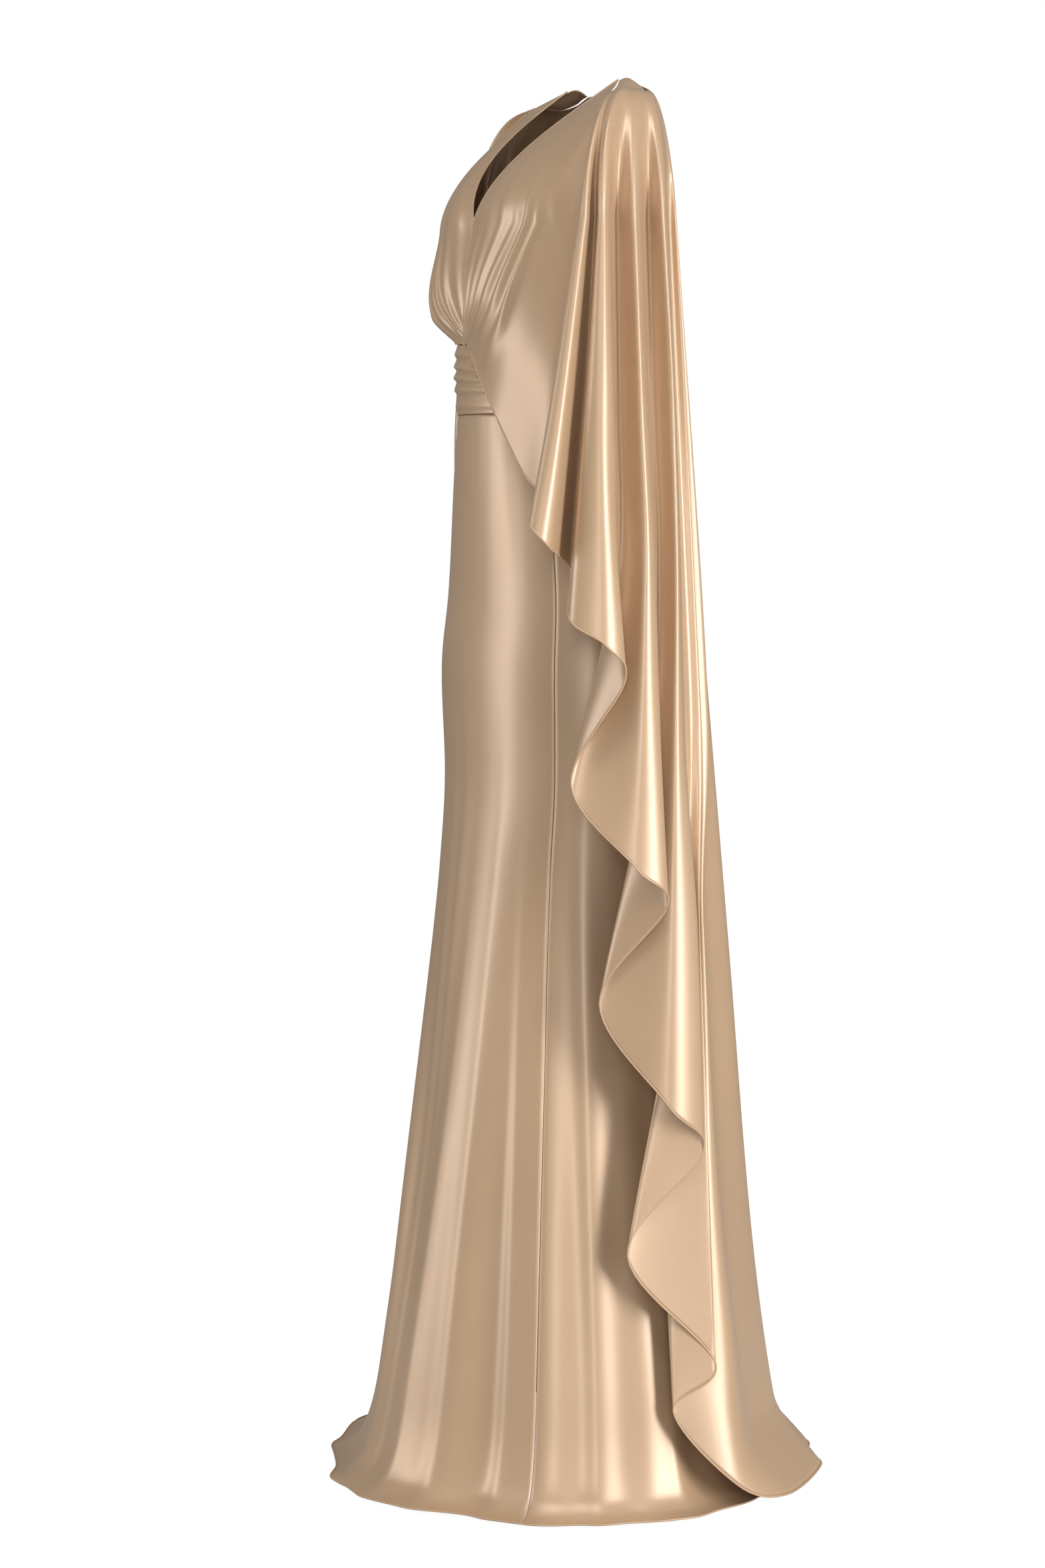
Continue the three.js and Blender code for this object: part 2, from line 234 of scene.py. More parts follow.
@dataclass(frozen=True)
class Satin:
    """The cloth's finish, as set on its shader."""

    name: str
    colour: tuple[float, float, float]
    shade: tuple[float, float, float]
    roughness: float
    metallic: float
    coat: float
    coat_roughness: float = 0.4
    ior: float = 1.6


@dataclass(frozen=True)
class Weave:
    """Scales and depths of the satin's threads, tint clouds and soft ripples."""

    thread_scale: tuple[float, float, float] = (900.0, 40.0, 1.0)
    thread_detail: float = 2.0
    thread_strength: float = 0.06
    thread_depth: float = 0.0003
    cloud_scale: float = 7.0
    cloud_detail: float = 3.0
    ripple_scale: tuple[float, float, float] = (22.0, 3.2, 1.0)
    ripple_detail: float = 1.0
    ripple_strength: float = 0.25
    ripple_depth: float = 0.004
    roughness_swing: float = 0.03


CHAMPAGNE = Satin("champagne_satin", (0.53, 0.362, 0.226), (0.46, 0.305, 0.18), 0.38, 0.2, 0.6)
EDGE = Satin("satin_edge", (0.53, 0.36, 0.22), (0.47, 0.31, 0.185), 0.44, 0.1, 0.2)


class SatinShader:
    """Builds the cloth materials from one shared weave group."""

    def __init__(self, weave: Weave) -> None:
        """Makes the shared group once."""
        self.group = self._weave_group(weave)

    @staticmethod
    def _weave_group(weave: Weave) -> bpy.types.NodeTree:
        """Satin weave: colour, roughness and normal that vary over the cloth.

        Args:
            weave: The scales and depths of its noises.

        Returns:
            The node group.
        """
        tree = bpy.data.node_groups.new("satin_weave", "ShaderNodeTree")
        face = tree.interface
        for name in ("Colour", "Shade"):
            face.new_socket(name=name, in_out="INPUT", socket_type="NodeSocketColor")
        face.new_socket(name="Roughness", in_out="INPUT", socket_type="NodeSocketFloat")
        face.new_socket(name="Colour", in_out="OUTPUT", socket_type="NodeSocketColor")
        face.new_socket(name="Roughness", in_out="OUTPUT", socket_type="NodeSocketFloat")
        face.new_socket(name="Normal", in_out="OUTPUT", socket_type="NodeSocketVector")
        nodes, links = tree.nodes, tree.links
        entry, leave = nodes.new("NodeGroupInput"), nodes.new("NodeGroupOutput")
        place = nodes.new("ShaderNodeTexCoord")
        grain = nodes.new("ShaderNodeMapping")
        grain.inputs["Scale"].default_value = weave.thread_scale
        threads = nodes.new("ShaderNodeTexNoise")
        threads.inputs["Scale"].default_value = 1.0
        threads.inputs["Detail"].default_value = weave.thread_detail
        cloud = nodes.new("ShaderNodeTexNoise")
        cloud.inputs["Scale"].default_value = weave.cloud_scale
        cloud.inputs["Detail"].default_value = weave.cloud_detail
        ripple_place = nodes.new("ShaderNodeMapping")
        ripple_place.inputs["Scale"].default_value = weave.ripple_scale
        ripple = nodes.new("ShaderNodeTexNoise")
        ripple.inputs["Scale"].default_value = 1.0
        ripple.inputs["Detail"].default_value = weave.ripple_detail
        tint = nodes.new("ShaderNodeMix")
        tint.data_type = "RGBA"
        rough = nodes.new("ShaderNodeMapRange")
        rough.inputs["To Min"].default_value = -weave.roughness_swing
        rough.inputs["To Max"].default_value = weave.roughness_swing
        add = nodes.new("ShaderNodeMath")
        fine = nodes.new("ShaderNodeBump")
        fine.inputs["Strength"].default_value = weave.thread_strength
        fine.inputs["Distance"].default_value = weave.thread_depth
        soft = nodes.new("ShaderNodeBump")
        soft.inputs["Strength"].default_value = weave.ripple_strength
        soft.inputs["Distance"].default_value = weave.ripple_depth
        links.new(place.outputs["UV"], grain.inputs["Vector"])
        links.new(grain.outputs["Vector"], threads.inputs["Vector"])
        links.new(place.outputs["Object"], cloud.inputs["Vector"])
        links.new(place.outputs["UV"], ripple_place.inputs["Vector"])
        links.new(ripple_place.outputs["Vector"], ripple.inputs["Vector"])
        links.new(cloud.outputs["Fac"], tint.inputs["Factor"])
        links.new(entry.outputs["Colour"], tint.inputs["A"])
        links.new(entry.outputs["Shade"], tint.inputs["B"])
        links.new(threads.outputs["Fac"], rough.inputs["Value"])
        links.new(rough.outputs["Result"], add.inputs[0])
        links.new(entry.outputs["Roughness"], add.inputs[1])
        links.new(ripple.outputs["Fac"], soft.inputs["Height"])
        links.new(threads.outputs["Fac"], fine.inputs["Height"])
        links.new(soft.outputs["Normal"], fine.inputs["Normal"])
        links.new(tint.outputs["Result"], leave.inputs["Colour"])
        links.new(add.outputs["Value"], leave.inputs["Roughness"])
        links.new(fine.outputs["Normal"], leave.inputs["Normal"])
        return tree

    def material(self, finish: Satin) -> bpy.types.Material:
        """One satin material.

        Args:
            finish: The colours and gloss of the cloth.

        Returns:
            The new material.
        """
        made = bpy.data.materials.new(finish.name)
        made.use_nodes = True
        nodes, links = made.node_tree.nodes, made.node_tree.links
        shader = nodes["Principled BSDF"]
        weave = nodes.new("ShaderNodeGroup")
        weave.node_tree = self.group
        weave.inputs["Colour"].default_value = (*finish.colour, 1.0)
        weave.inputs["Shade"].default_value = (*finish.shade, 1.0)
        weave.inputs["Roughness"].default_value = finish.roughness
        shader.inputs["Metallic"].default_value = finish.metallic
        shader.inputs["Coat Weight"].default_value = finish.coat
        shader.inputs["Coat Roughness"].default_value = finish.coat_roughness
        shader.inputs["IOR"].default_value = finish.ior
        links.new(weave.outputs["Colour"], shader.inputs["Base Color"])
        links.new(weave.outputs["Roughness"], shader.inputs["Roughness"])
        links.new(weave.outputs["Normal"], shader.inputs["Normal"])
        return made


@dataclass
class Tailor:
    """Turns surfaces into shells of cloth and dresses them."""

    satin: bpy.types.Material
    edge: bpy.types.Material
    cloth_thickness: float = 0.9
    hem_radius: float = 1.1

    def cloth(self, node: str, surface: Surface, us: np.ndarray, vs: np.ndarray,
              outward: bool) -> bpy.types.Object:
        """A shell of cloth whose outer face is the surface.

        Args:
            node: The solid that this piece stands for.
            surface: Gives a point for each pair of across and down.
            us: Places across the cloth.
            vs: Places down the cloth.
            outward: True if across times down already points outwards.

        Returns:
            The finished piece.
        """
        across, down = len(us) - 1, len(vs) - 1
        points = surface(us, vs)
        points = (points - (0.0, 0.0, SHOULDER)) * MM
        drops = np.linalg.norm(np.diff(points, axis=1), axis=2)
        fall = np.concatenate([np.zeros((len(us), 1)), np.cumsum(drops, axis=1)], axis=1)
        middle = points[:, len(vs) // 2]
        steps = np.linalg.norm(np.diff(middle, axis=0), axis=1)
        reach = np.concatenate([[0.0], np.cumsum(steps)])
        mesh = bmesh.new()
        layer = mesh.loops.layers.uv.new("cloth")
        bmesh.ops.create_grid(mesh, x_segments=across, y_segments=down, size=0.5)
        cells = {}
        for vert in mesh.verts:
            i = round((vert.co.x + 0.5) * across)
            j = round((vert.co.y + 0.5) * down)
            cells[vert.index] = (i, j)
            vert.co = points[i, j]
        for polygon in mesh.faces:
            polygon.smooth = True
            for loop in polygon.loops:
                i, j = cells[loop.vert.index]
                loop[layer].uv = (reach[i], fall[i, j])
        if not outward:
            bmesh.ops.reverse_faces(mesh, faces=mesh.faces)
        piece = self._object(f"{node}_cloth", mesh, self.satin)
        shell = piece.modifiers.new("thickness", "SOLIDIFY")
        shell.thickness = self.cloth_thickness * MM
        shell.offset = -1.0
        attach(piece, BODY)
        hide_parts(node)
        LOG.info("%s: %d by %d", piece.name, across, down)
        return piece

    def rolled_edge(self, name: str, path: np.ndarray) -> bpy.types.Object:
        """A fine rolled hem along an edge of the cloth.

        Args:
            name: The piece's name.
            path: Points of the edge in millimetres above the floor.

        Returns:
            The finished piece.
        """
        points = (path - (0.0, 0.0, SHOULDER)) * MM
        curve = bpy.data.curves.new(name, "CURVE")
        curve.dimensions = "3D"
        curve.bevel_depth = self.hem_radius * MM
        curve.bevel_resolution = 1
        spline = curve.splines.new("POLY")
        spline.points.add(len(points) - 1)
        spline.points.foreach_set("co", np.hstack([points, np.ones((len(points), 1))]).ravel())
        rod = bpy.data.objects.new(f"{name}_path", curve)
        bpy.context.scene.collection.objects.link(rod)
        bpy.context.view_layer.update()
        depsgraph = bpy.context.evaluated_depsgraph_get()
        mesh = bpy.data.meshes.new_from_object(rod.evaluated_get(depsgraph))
        bpy.data.objects.remove(rod)
        mesh.name = name
        mesh.materials.clear()
        mesh.materials.append(self.edge)
        mesh.shade_smooth()
        piece = bpy.data.objects.new(name, mesh)
        bpy.context.scene.collection.objects.link(piece)
        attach(piece, BODY)
        return piece

    @staticmethod
    def _object(name: str, mesh: bmesh.types.BMesh, material: bpy.types.Material) -> bpy.types.Object:
        """Puts a finished bmesh into the scene with its material.

        Args:
            name: The piece's name.
            mesh: Its bmesh, which is freed.
            material: The material of all its faces.

        Returns:
            The new object.
        """
        data = bpy.data.meshes.new(name)
        mesh.to_mesh(data)
        mesh.free()
        data.materials.append(material)
        piece = bpy.data.objects.new(name, data)
        bpy.context.scene.collection.objects.link(piece)
        return piece


@dataclass
class Skirt:
    """Trumpet skirt of a front and two backs, with flutes that spread on the floor."""

    side_seam: float = 53.0
    seam_gap: float = 0.3
    seam_dip: float = 1.2
    seam_width: float = 2.6
    seam_steps: tuple[float, ...] = (0.0, 0.4, 0.8, 1.3, 1.9)
    seam_margin: float = 2.6
    calf_row: int = 9
    leg_count: int = 100
    hem_count: int = 61
    hem_edge_count: int = 721
    flute_mean: float = 0.05
    flute_full: float = 60.0
    sections: tuple[SkirtSection, ...] = (
        SkirtSection(1193.7, 122, 124, 82),
        SkirtSection(1122, 140, 126, 98),
        SkirtSection(1000, 163, 128, 116),
        SkirtSection(911, 172, 136, 122),
        SkirtSection(790, 168, 133, 116),
        SkirtSection(700, 166, 140, 118),
        SkirtSection(608, 172, 150, 126),
        SkirtSection(454, 190, 168, 138),
        SkirtSection(300, 210, 188, 150),
        SkirtSection(145, 234, 210, 166),
        SkirtSection(72, 245, 222, 180),
        SkirtSection(30, 257, 236, 200),
        SkirtSection(11, 272, 254, 222),
        SkirtSection(5, 290, 274, 242),
    )
    flutes: tuple[Flute, ...] = (
        Flute(-175, 10, 10, 5, 560, 0),
        Flute(-143, 10, 10, 6, 600, 2),
        Flute(-112, 10, 10, 8, 640, 2),
        Flute(-84, 10, 12, 12, 600, -3),
        Flute(-54, 8, 12, 15, 700, -3),
        Flute(-20, 7, 8, 21, 700, 17),
        Flute(17, 6, 15, 23, 760, -4),
        Flute(53, 9, 12, 15, 700, 3),
        Flute(84, 10, 10, 10, 600, 3),
        Flute(112, 10, 10, 6, 640, 2),
        Flute(143, 10, 10, 6, 600, -2),
    )
    ripples: tuple[Flute, ...] = (
        Flute(-160, 4, 6, 4, 900, 2),
        Flute(-127, 5, 6, 5, 860, -2),
        Flute(-98, 4, 6, 5, 940, 3),
        Flute(-70, 4, 7, 5, 900, -3),
        Flute(-38, 4, 6, 6, 860, 6),
        Flute(-6, 3, 5, 5, 940, 9),
        Flute(5, 3, 5, 5, 1020, 2),
        Flute(30, 4, 7, 6, 960, -4),
        Flute(42, 3, 5, 5, 820, 2),
        Flute(66, 4, 6, 7, 1000, 5),
        Flute(98, 4, 6, 5, 900, -3),
        Flute(127, 5, 6, 5, 860, 2),
        Flute(160, 4, 6, 4, 900, -2),
    )

    def face(self, seams: tuple[float, ...]) -> Surface:
        """The outer face, with a dip at each seam.

        Args:
            seams: The angles of the seams in degrees from the front.

        Returns:
            The surface by angle and by row of the sections.
        """
        rows = np.array([[s.half, s.front, s.back, s.height] for s in self.sections], float)

        def surface(angles: np.ndarray, vs: np.ndarray) -> np.ndarray:
            """Points of the face, by angle and by row."""
            half, front, back, height = between(rows, vs).T
            turn = np.radians(angles)[:, None]
            depth = np.where(np.cos(turn) > 0, front[None, :], back[None, :])
            x = half[None, :] * np.sin(turn)
            y = -depth * np.cos(turn)
            away = np.hypot(x, y)
            lift = np.zeros_like(x)
            for f in (*self.flutes, *self.ripples):
                grow = smooth((f.start - height) / (f.start - self.flute_full))[None, :]
                off = wrap(angles[:, None] - f.angle - f.drift * grow)
                lift += f.lift * grow * (lopsided(off, f.before, f.after) - self.flute_mean)
            for seam in seams:
                reach = np.radians(np.abs(wrap(angles[:, None] - seam))) * away
                lift -= self.seam_dip * bump(reach, self.seam_width)
            scale = 1.0 + lift / away
            tall = np.broadcast_to(height[None, :], x.shape)
            return np.stack([x * scale, y * scale, tall], axis=2)

        return surface

    def panels(self) -> tuple[Panel, ...]:
        """The front and the two backs."""
        side, back = self.side_seam, FULL_TURN / 2
        return (
            Panel("skirt_front", -side, side, 220, "waistband_front", 0.53, 1.22, 0.43),
            Panel("skirt_back_left", side, back, 170, "waistband_back", 0.50, 1.22, 0.42),
            Panel("skirt_back_right", back, FULL_TURN - side, 170, "waistband_back", 0.50, 1.22, 0.42),
        )

    def build(self, tailor: Tailor) -> None:
        """Makes the three panels and the hem.

        Args:
            tailor: Makes the cloth and the rolled edge.
        """
        down = self.rows()
        gap = math.degrees((self.seam_gap / 2) / self.sections[0].half)
        for panel in self.panels():
            across = self.crowded(panel.start + gap, panel.stop - gap, panel.count)
            surface = self.face((panel.start, panel.stop))
            piece = tailor.cloth(panel.node, surface, across, down, outward=False)
        around = np.linspace(0.0, FULL_TURN, self.hem_edge_count)
        seams = tuple(panel.stop for panel in self.panels())
        hem = self.face(seams)(around, down[-1:])[:, 0]
        tailor.rolled_edge("skirt_hem", hem)

    def rows(self) -> np.ndarray:
        """Places down the skirt, closest together at the hem.

        Returns:
            Places counted in rows of the sections.
        """
        last = len(self.sections) - 1
        leg = np.linspace(0, self.calf_row, self.leg_count)[:-1]
        return np.concatenate([leg, np.linspace(self.calf_row, last, self.hem_count)])

    def crowded(self, start: float, stop: float, count: int) -> np.ndarray:
        """Places across a panel, crowded at its two seams.

        Args:
            start: Angle of its first edge in degrees.
            stop: Angle of its last edge.
            count: The number of places between the seams.

        Returns:
            The angles.
        """
        seam = np.array(self.seam_steps)
        middle = np.linspace(start + self.seam_margin, stop - self.seam_margin, count)
        return np.concatenate([start + seam, middle, stop - seam[::-1]])


@dataclass
class Waistband:
    """Band round the waist, folded into pleats in front and plain behind."""

    top: float = 1271.0
    bottom: float = 1194.0
    seam: float = 78.0
    seam_gap: float = 0.3
    half: float = 122.0
    front: float = 124.0
    back: float = 82.0
    ease: float = 0.6
    pleat_fade: float = 40.0
    pleat_level: float = -30.0
    down_count: int = 91
    front_count: int = 241
    back_count: int = 161
    pleats: tuple[Pleat, ...] = (
        Pleat(1262, 3.0, 7.0, 3.0, -0.10),
        Pleat(1249, 2.6, 7.0, 3.8, -0.16),
        Pleat(1236, 2.6, 7.0, 4.2, -0.12),
        Pleat(1222, 3.0, 8.0, 3.4, -0.06),
        Pleat(1203, 4.0, 9.0, 2.0, 0.0),
    )

    def surface(self, angles: np.ndarray, drops: np.ndarray) -> np.ndarray:
        """The outer face.

        Args:
            angles: Degrees from the front.
            drops: Millimetres below the top edge.

        Returns:
            A point for each angle and drop.
        """
        height = (self.top - drops)[None, :]
        turn = np.radians(angles)[:, None]
        facing = wrap(angles)[:, None]
        fade = smooth((self.seam - np.abs(facing)) / self.pleat_fade)
        lift = np.full((len(angles), len(drops)), self.ease)
        for p in self.pleats:
            off = height - p.height - p.slope * (facing - self.pleat_level)
            lift = lift + p.lift * fade * lopsided(off, p.below, p.above)
        depth = np.where(np.cos(turn) > 0, self.front, self.back)
        x = (self.half + lift) * np.sin(turn)
        y = -(depth + lift) * np.cos(turn)
        return np.stack([x, y, np.broadcast_to(height, x.shape)], axis=2)

    def build(self, tailor: Tailor) -> None:
        """Makes the front and back bands.

        Args:
            tailor: Makes the cloth.
        """
        gap = math.degrees((self.seam_gap / 2) / self.half)
        drops = np.linspace(0.0, self.top - self.bottom - self.seam_gap, self.down_count)
        front = np.linspace(-self.seam + gap, self.seam - gap, self.front_count)
        back = np.linspace(self.seam + gap, FULL_TURN - self.seam - gap, self.back_count)
        piece = tailor.cloth("waistband_front", self.surface, front, drops, outward=False)
        piece = tailor.cloth("waistband_back", self.surface, back, drops, outward=False)


@dataclass
class Bodice:
    """Close back and sides of the bodice, under the cape."""

    start: float = 66.0
    side_depth: float = 0.86
    across_count: int = 181
    down_count: int = 81
    sections: tuple[tuple[float, float, float], ...] = (
        (1271.4, 121, 84),
        (1364, 136, 90),
        (1440, 133, 84),
        (1500, 124, 74),
        (1532, 108, 62),
    )
    top_edge: tuple[tuple[float, float], ...] = (
        (66, 1384),
        (92, 1372),
        (112, 1440),
        (128, 1516),
        (150, 1530),
        (180, 1530),
    )

    def surface(self, angles: np.ndarray, vs: np.ndarray) -> np.ndarray:
        """The outer face.

        Args:
            angles: Degrees from the front.
            vs: Shares of the way down to the waist.

        Returns:
            A point for each angle and share.
        """
        side = np.abs(wrap(angles))
        top = monotone([a for a, _ in self.top_edge], [h for _, h in self.top_edge], side)[:, None]
        waist = self.sections[0][0]
        height = top + (waist - top) * vs[None, :]
        heights = [s[0] for s in self.sections]
        half = monotone(heights, [s[1] for s in self.sections], height)
        back = monotone(heights, [s[2] for s in self.sections], height)
        turn = np.radians(angles)[:, None]
        depth = np.where(np.cos(turn) > 0, half * self.side_depth, back)
        return np.stack([half * np.sin(turn), -depth * np.cos(turn), height], axis=2)

    def build(self, tailor: Tailor) -> None:
        """Makes the bodice.

        Args:
            tailor: Makes the cloth.
        """
        across = np.linspace(self.start, FULL_TURN - self.start, self.across_count)
        down = np.linspace(0.0, 1.0, self.down_count)
        piece = tailor.cloth("bodice_back", self.surface, across, down, outward=False)


@dataclass
class Cape:
    """Front drape and cape sleeve of one side, one cloth from neckline to centre back."""

    chest: float = 1400.0
    neck_bow: float = 1.35
    relief_bow: float = 1.5
    overlap_step: float = 4.6
    overlap_width: float = 60.0
    gather_full: float = 1300.0
    gather_end: float = 0.12
    drape_lines: int = 4
    drape_count: int = 97
    line_steps: int = 12
    arm_line: int = 6
    calm_rounds: int = 2
    drape_rim: float = 0.2
    arm_rim: float = 0.26
    shoulder_fall: float = 0.16
    shoulder_power: float = 1.6
    shoulder_count: int = 26
    hem_fall: float = 0.94
    length_count: int = 70
    hem_count: int = 18
    rim: tuple[tuple[float, float, float, float], ...] = (
        (0.00, 65, 30, 1562),
        (0.13, 90, 12, 1550),
        (0.20, 100, 3, 1544),
        (0.27, 109, 2, 1542),
        (0.40, 112, 18, 1548),
        (0.56, 106, 42, 1546),
        (0.74, 84, 55, 1551),
        (0.84, 62, 57, 1557),
        (1.00, 0, 66, 1549),
    )
    folds: tuple[DrapeFold, ...] = (
        DrapeFold(0.05, 0.025, 0.04, 1.8, 1440),
        DrapeFold(0.15, 0.03, 0.05, 3.6, 1480),
        DrapeFold(0.27, 0.035, 0.06, 4.8, 1425),
        DrapeFold(0.40, 0.035, 0.06, 5.4, 1500),
        DrapeFold(0.53, 0.04, 0.06, 4.8, 1440),
        DrapeFold(0.66, 0.04, 0.07, 4.6, 1510),
        DrapeFold(0.80, 0.05, 0.07, 3.8, 1460),
    )
    left: tuple[CapeLine, ...] = (
        CapeLine("neckline", 0.00, (2, -118), ((9, -131.5, 1335), (-6, -126, 1271.5))),
        CapeLine("inner_drape", 0.06, (52, -123), ((34, -132.5, 1330), (0, -126.4, 1271.4))),
        CapeLine("bust_drape", 0.12, (98, -112), ((64, -132, 1320), (9, -127.4, 1271.3))),
        CapeLine("under_drape", 0.17, (122, -99), ((92, -124, 1305), (30, -127.6, 1246))),
        CapeLine("waist_edge", 0.21, (140, -86), ((112, -113, 1290), (66, -122, 1196))),
        CapeLine("hip_edge", 0.25, (158, -70), ((148, -90, 1250), (106, -98, 1120))),
        CapeLine("arm_crease", 0.28, (176, -52), ((182, -68, 1230), (178, -90, 1097))),
        CapeLine("fold_1", 0.31, (190, -78), ((217, -126, 1197), (235, -158, 1079))),
        CapeLine("crest_1", 0.325, (199, -74), ((234, -117, 1197), (255, -145, 1051))),
        CapeLine("crease_1", 0.34, (183, -56), ((207, -81, 1197), (213, -99, 1025))),
        CapeLine("fold_2", 0.365, (201, -62), ((236, -94, 1197), (262, -124, 975))),
        CapeLine("crest_2", 0.39, (208, -60), ((252, -84, 1197), (292, -95, 947))),
        CapeLine("turn_2", 0.415, (204, -51), ((247, -66, 1197), (268, -70, 1029), (282, -69, 909))),
        CapeLine("crease_3", 0.44, (175, -26), ((208, -40, 1197), (229, -49, 1029), (225, -104, 798))),
        CapeLine("crest_3", 0.465, (200, -20), ((237, -30, 1197), (261, -36, 1029), (272, -50, 710))),
        CapeLine("turn_3", 0.49, (196, -10),
                 ((230, -17, 1197), (254, -19, 1029), (262, -16, 850), (267, -10, 667))),
        CapeLine("crease_4", 0.515, (170, 14),
                 ((199, 5, 1197), (218, 3, 1029), (224, -7, 850), (211, -63, 558))),
        CapeLine("crest_4", 0.535, (194, 18),
                 ((223, 15, 1197), (242, 12, 1029), (251, 7, 850), (268, -8, 451))),
        CapeLine("turn_4", 0.555, (188, 28),
                 ((217, 24, 1197), (241, 24, 850), (254, 34, 632), (262, 37, 397))),
        CapeLine("crease_5", 0.58, (158, 46), ((207, 46, 850), (229, 27, 632), (244, -45, 287))),
        CapeLine("turn_5", 0.62, (162, 52), ((206, 63, 850), (240, 44, 632), (268, 50, 165))),
        CapeLine("crease_6", 0.65, (136, 56),
                 ((176, 64, 850), (206, 46, 600), (236, 6, 287), (262, 2, 115))),
        CapeLine("tip", 0.69, (138, 66),
                 ((174, 89, 850), (216, 62, 632), (240, 64, 363), (264, 71, 150), (288, 69, 32))),
        CapeLine("crease_7", 0.73, (112, 64), ((152, 94, 600), (226, 116, 90), (268, 140, 9))),
        CapeLine("back_fold_1", 0.78, (98, 78), ((112, 148, 600), (150, 188, 90), (172, 238, 6))),
        CapeLine("back_crease_1", 0.84, (74, 84), ((82, 144, 600), (106, 188, 90), (128, 246, 9))),
        CapeLine("back_fold_2", 0.89, (46, 95), ((48, 170, 600), (62, 216, 90), (74, 276, 6))),
        CapeLine("back_crease_2", 0.95, (22, 93), ((24, 156, 600), (30, 202, 90), (34, 264, 9))),
        CapeLine("centre_back", 1.00, (0.2, 97), ((0.2, 170, 600), (0.2, 216, 90), (0.2, 280, 6))),
    )
    right_changes: tuple[CapeLine, ...] = (
        CapeLine("neckline", 0.00, (2, -118), ((-18, -131.5, 1335), (-10, -126, 1274))),
        CapeLine("bust_drape", 0.12, (98, -112), ((64, -132, 1320), (12, -126, 1273))),
        CapeLine("under_drape", 0.17, (122, -99), ((92, -124, 1305), (40, -121, 1273.5))),
        CapeLine("waist_edge", 0.21, (134, -80), ((112, -104, 1310), (90, -92, 1273))),
        CapeLine("hip_edge", 0.25, (152, -54), ((144, -62, 1290), (130, -54, 1204))),
        CapeLine("arm_crease", 0.28, (166, -34), ((178, -28, 1230), (178, -18, 1110))),
        CapeLine("fold_1", 0.31, (180, -42), ((206, -46, 1197), (220, -40, 1079))),
        CapeLine("crest_1", 0.325, (186, -36), ((216, -34, 1197), (232, -24, 1051))),
        CapeLine("crease_1", 0.34, (172, -20), ((200, -12, 1197), (212, 4, 1025))),
        CapeLine("fold_2", 0.365, (184, -26), ((224, -26, 1197), (248, -26, 975))),
        CapeLine("crest_2", 0.39, (192, -22), ((238, -14, 1197), (272, -10, 947))),
        CapeLine("turn_2", 0.415, (190, -16), ((236, -2, 1197), (272, -2, 909))),
        CapeLine("crease_3", 0.44, (168, 2), ((206, 4, 1060), (226, -30, 798))),
        CapeLine("crest_3", 0.465, (188, 8), ((228, 8, 1029), (262, -14, 710))),
        CapeLine("turn_3", 0.49, (188, 14), ((230, 18, 1029), (262, 4, 667))),
        CapeLine("crease_4", 0.515, (166, 24), ((200, 24, 1029), (214, 0, 800), (219, -24, 558))),
        CapeLine("crest_4", 0.535, (190, 30),
                 ((232, 34, 1029), (250, 28, 850), (262, 22, 632), (268, 4, 451))),
        CapeLine("turn_4", 0.555, (182, 40), ((232, 46, 1029), (246, 40, 632), (262, 38, 397))),
    )

    def lines(self, side: Side) -> tuple[CapeLine, ...]:
        """The lines of one side.

        Args:
            side: The wearer's left or right.

        Returns:
            The lines from the neckline to the centre back.
        """
        if side is Side.LEFT:
            return self.left
        changed = {line.name: line for line in self.right_changes}
        return tuple(changed.get(line.name, line) for line in self.left)

    def rim_point(self, share: float) -> np.ndarray:
        """A point of the shoulder's rim."""
        shares = [r[0] for r in self.rim]
        return np.array([monotone(shares, [r[k] for r in self.rim], share) for k in (1, 2, 3)])

    def calmed(self, lines: tuple[CapeLine, ...]) -> np.ndarray:
        """Chest points with the folds evened out, as the cloth lies near the shoulder.

        Args:
            lines: The lines of one side.

        Returns:
            x and y for each line.
        """
        chest = np.array([line.chest for line in lines], float)
        kept = chest[: self.arm_line].copy()
        for _ in range(self.calm_rounds):
            chest[1:-1] = (chest[:-2] + 2 * chest[1:-1] + chest[2:]) / 4
            chest[: self.arm_line] = kept
        return chest

    def trace(self, line: CapeLine, calm: np.ndarray, falls: np.ndarray) -> np.ndarray:
        """Points down one line.

        Args:
            line: The line.
            calm: Its chest point with the folds evened out.
            falls: Shares of the way from the rim to the hem.

        Returns:
            A point for each share.
        """
        seat = self.rim_point(line.rim)
        below = np.array([(*line.chest, self.chest), *line.down], float)
        height = seat[2] + (below[-1, 2] - seat[2]) * falls
        share = np.clip((seat[2] - height) / (seat[2] - self.chest), 0.0, 1.0)
        slow = np.sin(share * math.pi / 2)
        round_fall = np.sqrt(1.0 - (1.0 - share) ** 2)
        if line.name == "neckline":
            reaches = (share**self.neck_bow, slow)
        elif line.rim < self.drape_rim:
            reaches = (slow, slow)
        else:
            reaches = (round_fall, slow if line.rim < self.arm_rim else round_fall)
        relief = share**self.relief_bow
        flat = []
        for k in (0, 1):
            lower = monotone(below[:, 2], below[:, k], height)
            upper = seat[k] + (calm[k] - seat[k]) * reaches[k] + (line.chest[k] - calm[k]) * relief
            flat.append(np.where(height < self.chest, lower, upper))
        return np.stack([*flat, height], axis=1)

    def face(self, side: Side) -> Surface:
        """The outer face of one side.

        Args:
            side: The wearer's left or right.

        Returns:
            The surface by line and by share of the fall.
        """
        lines = self.lines(side)
        calm = self.calmed(lines)

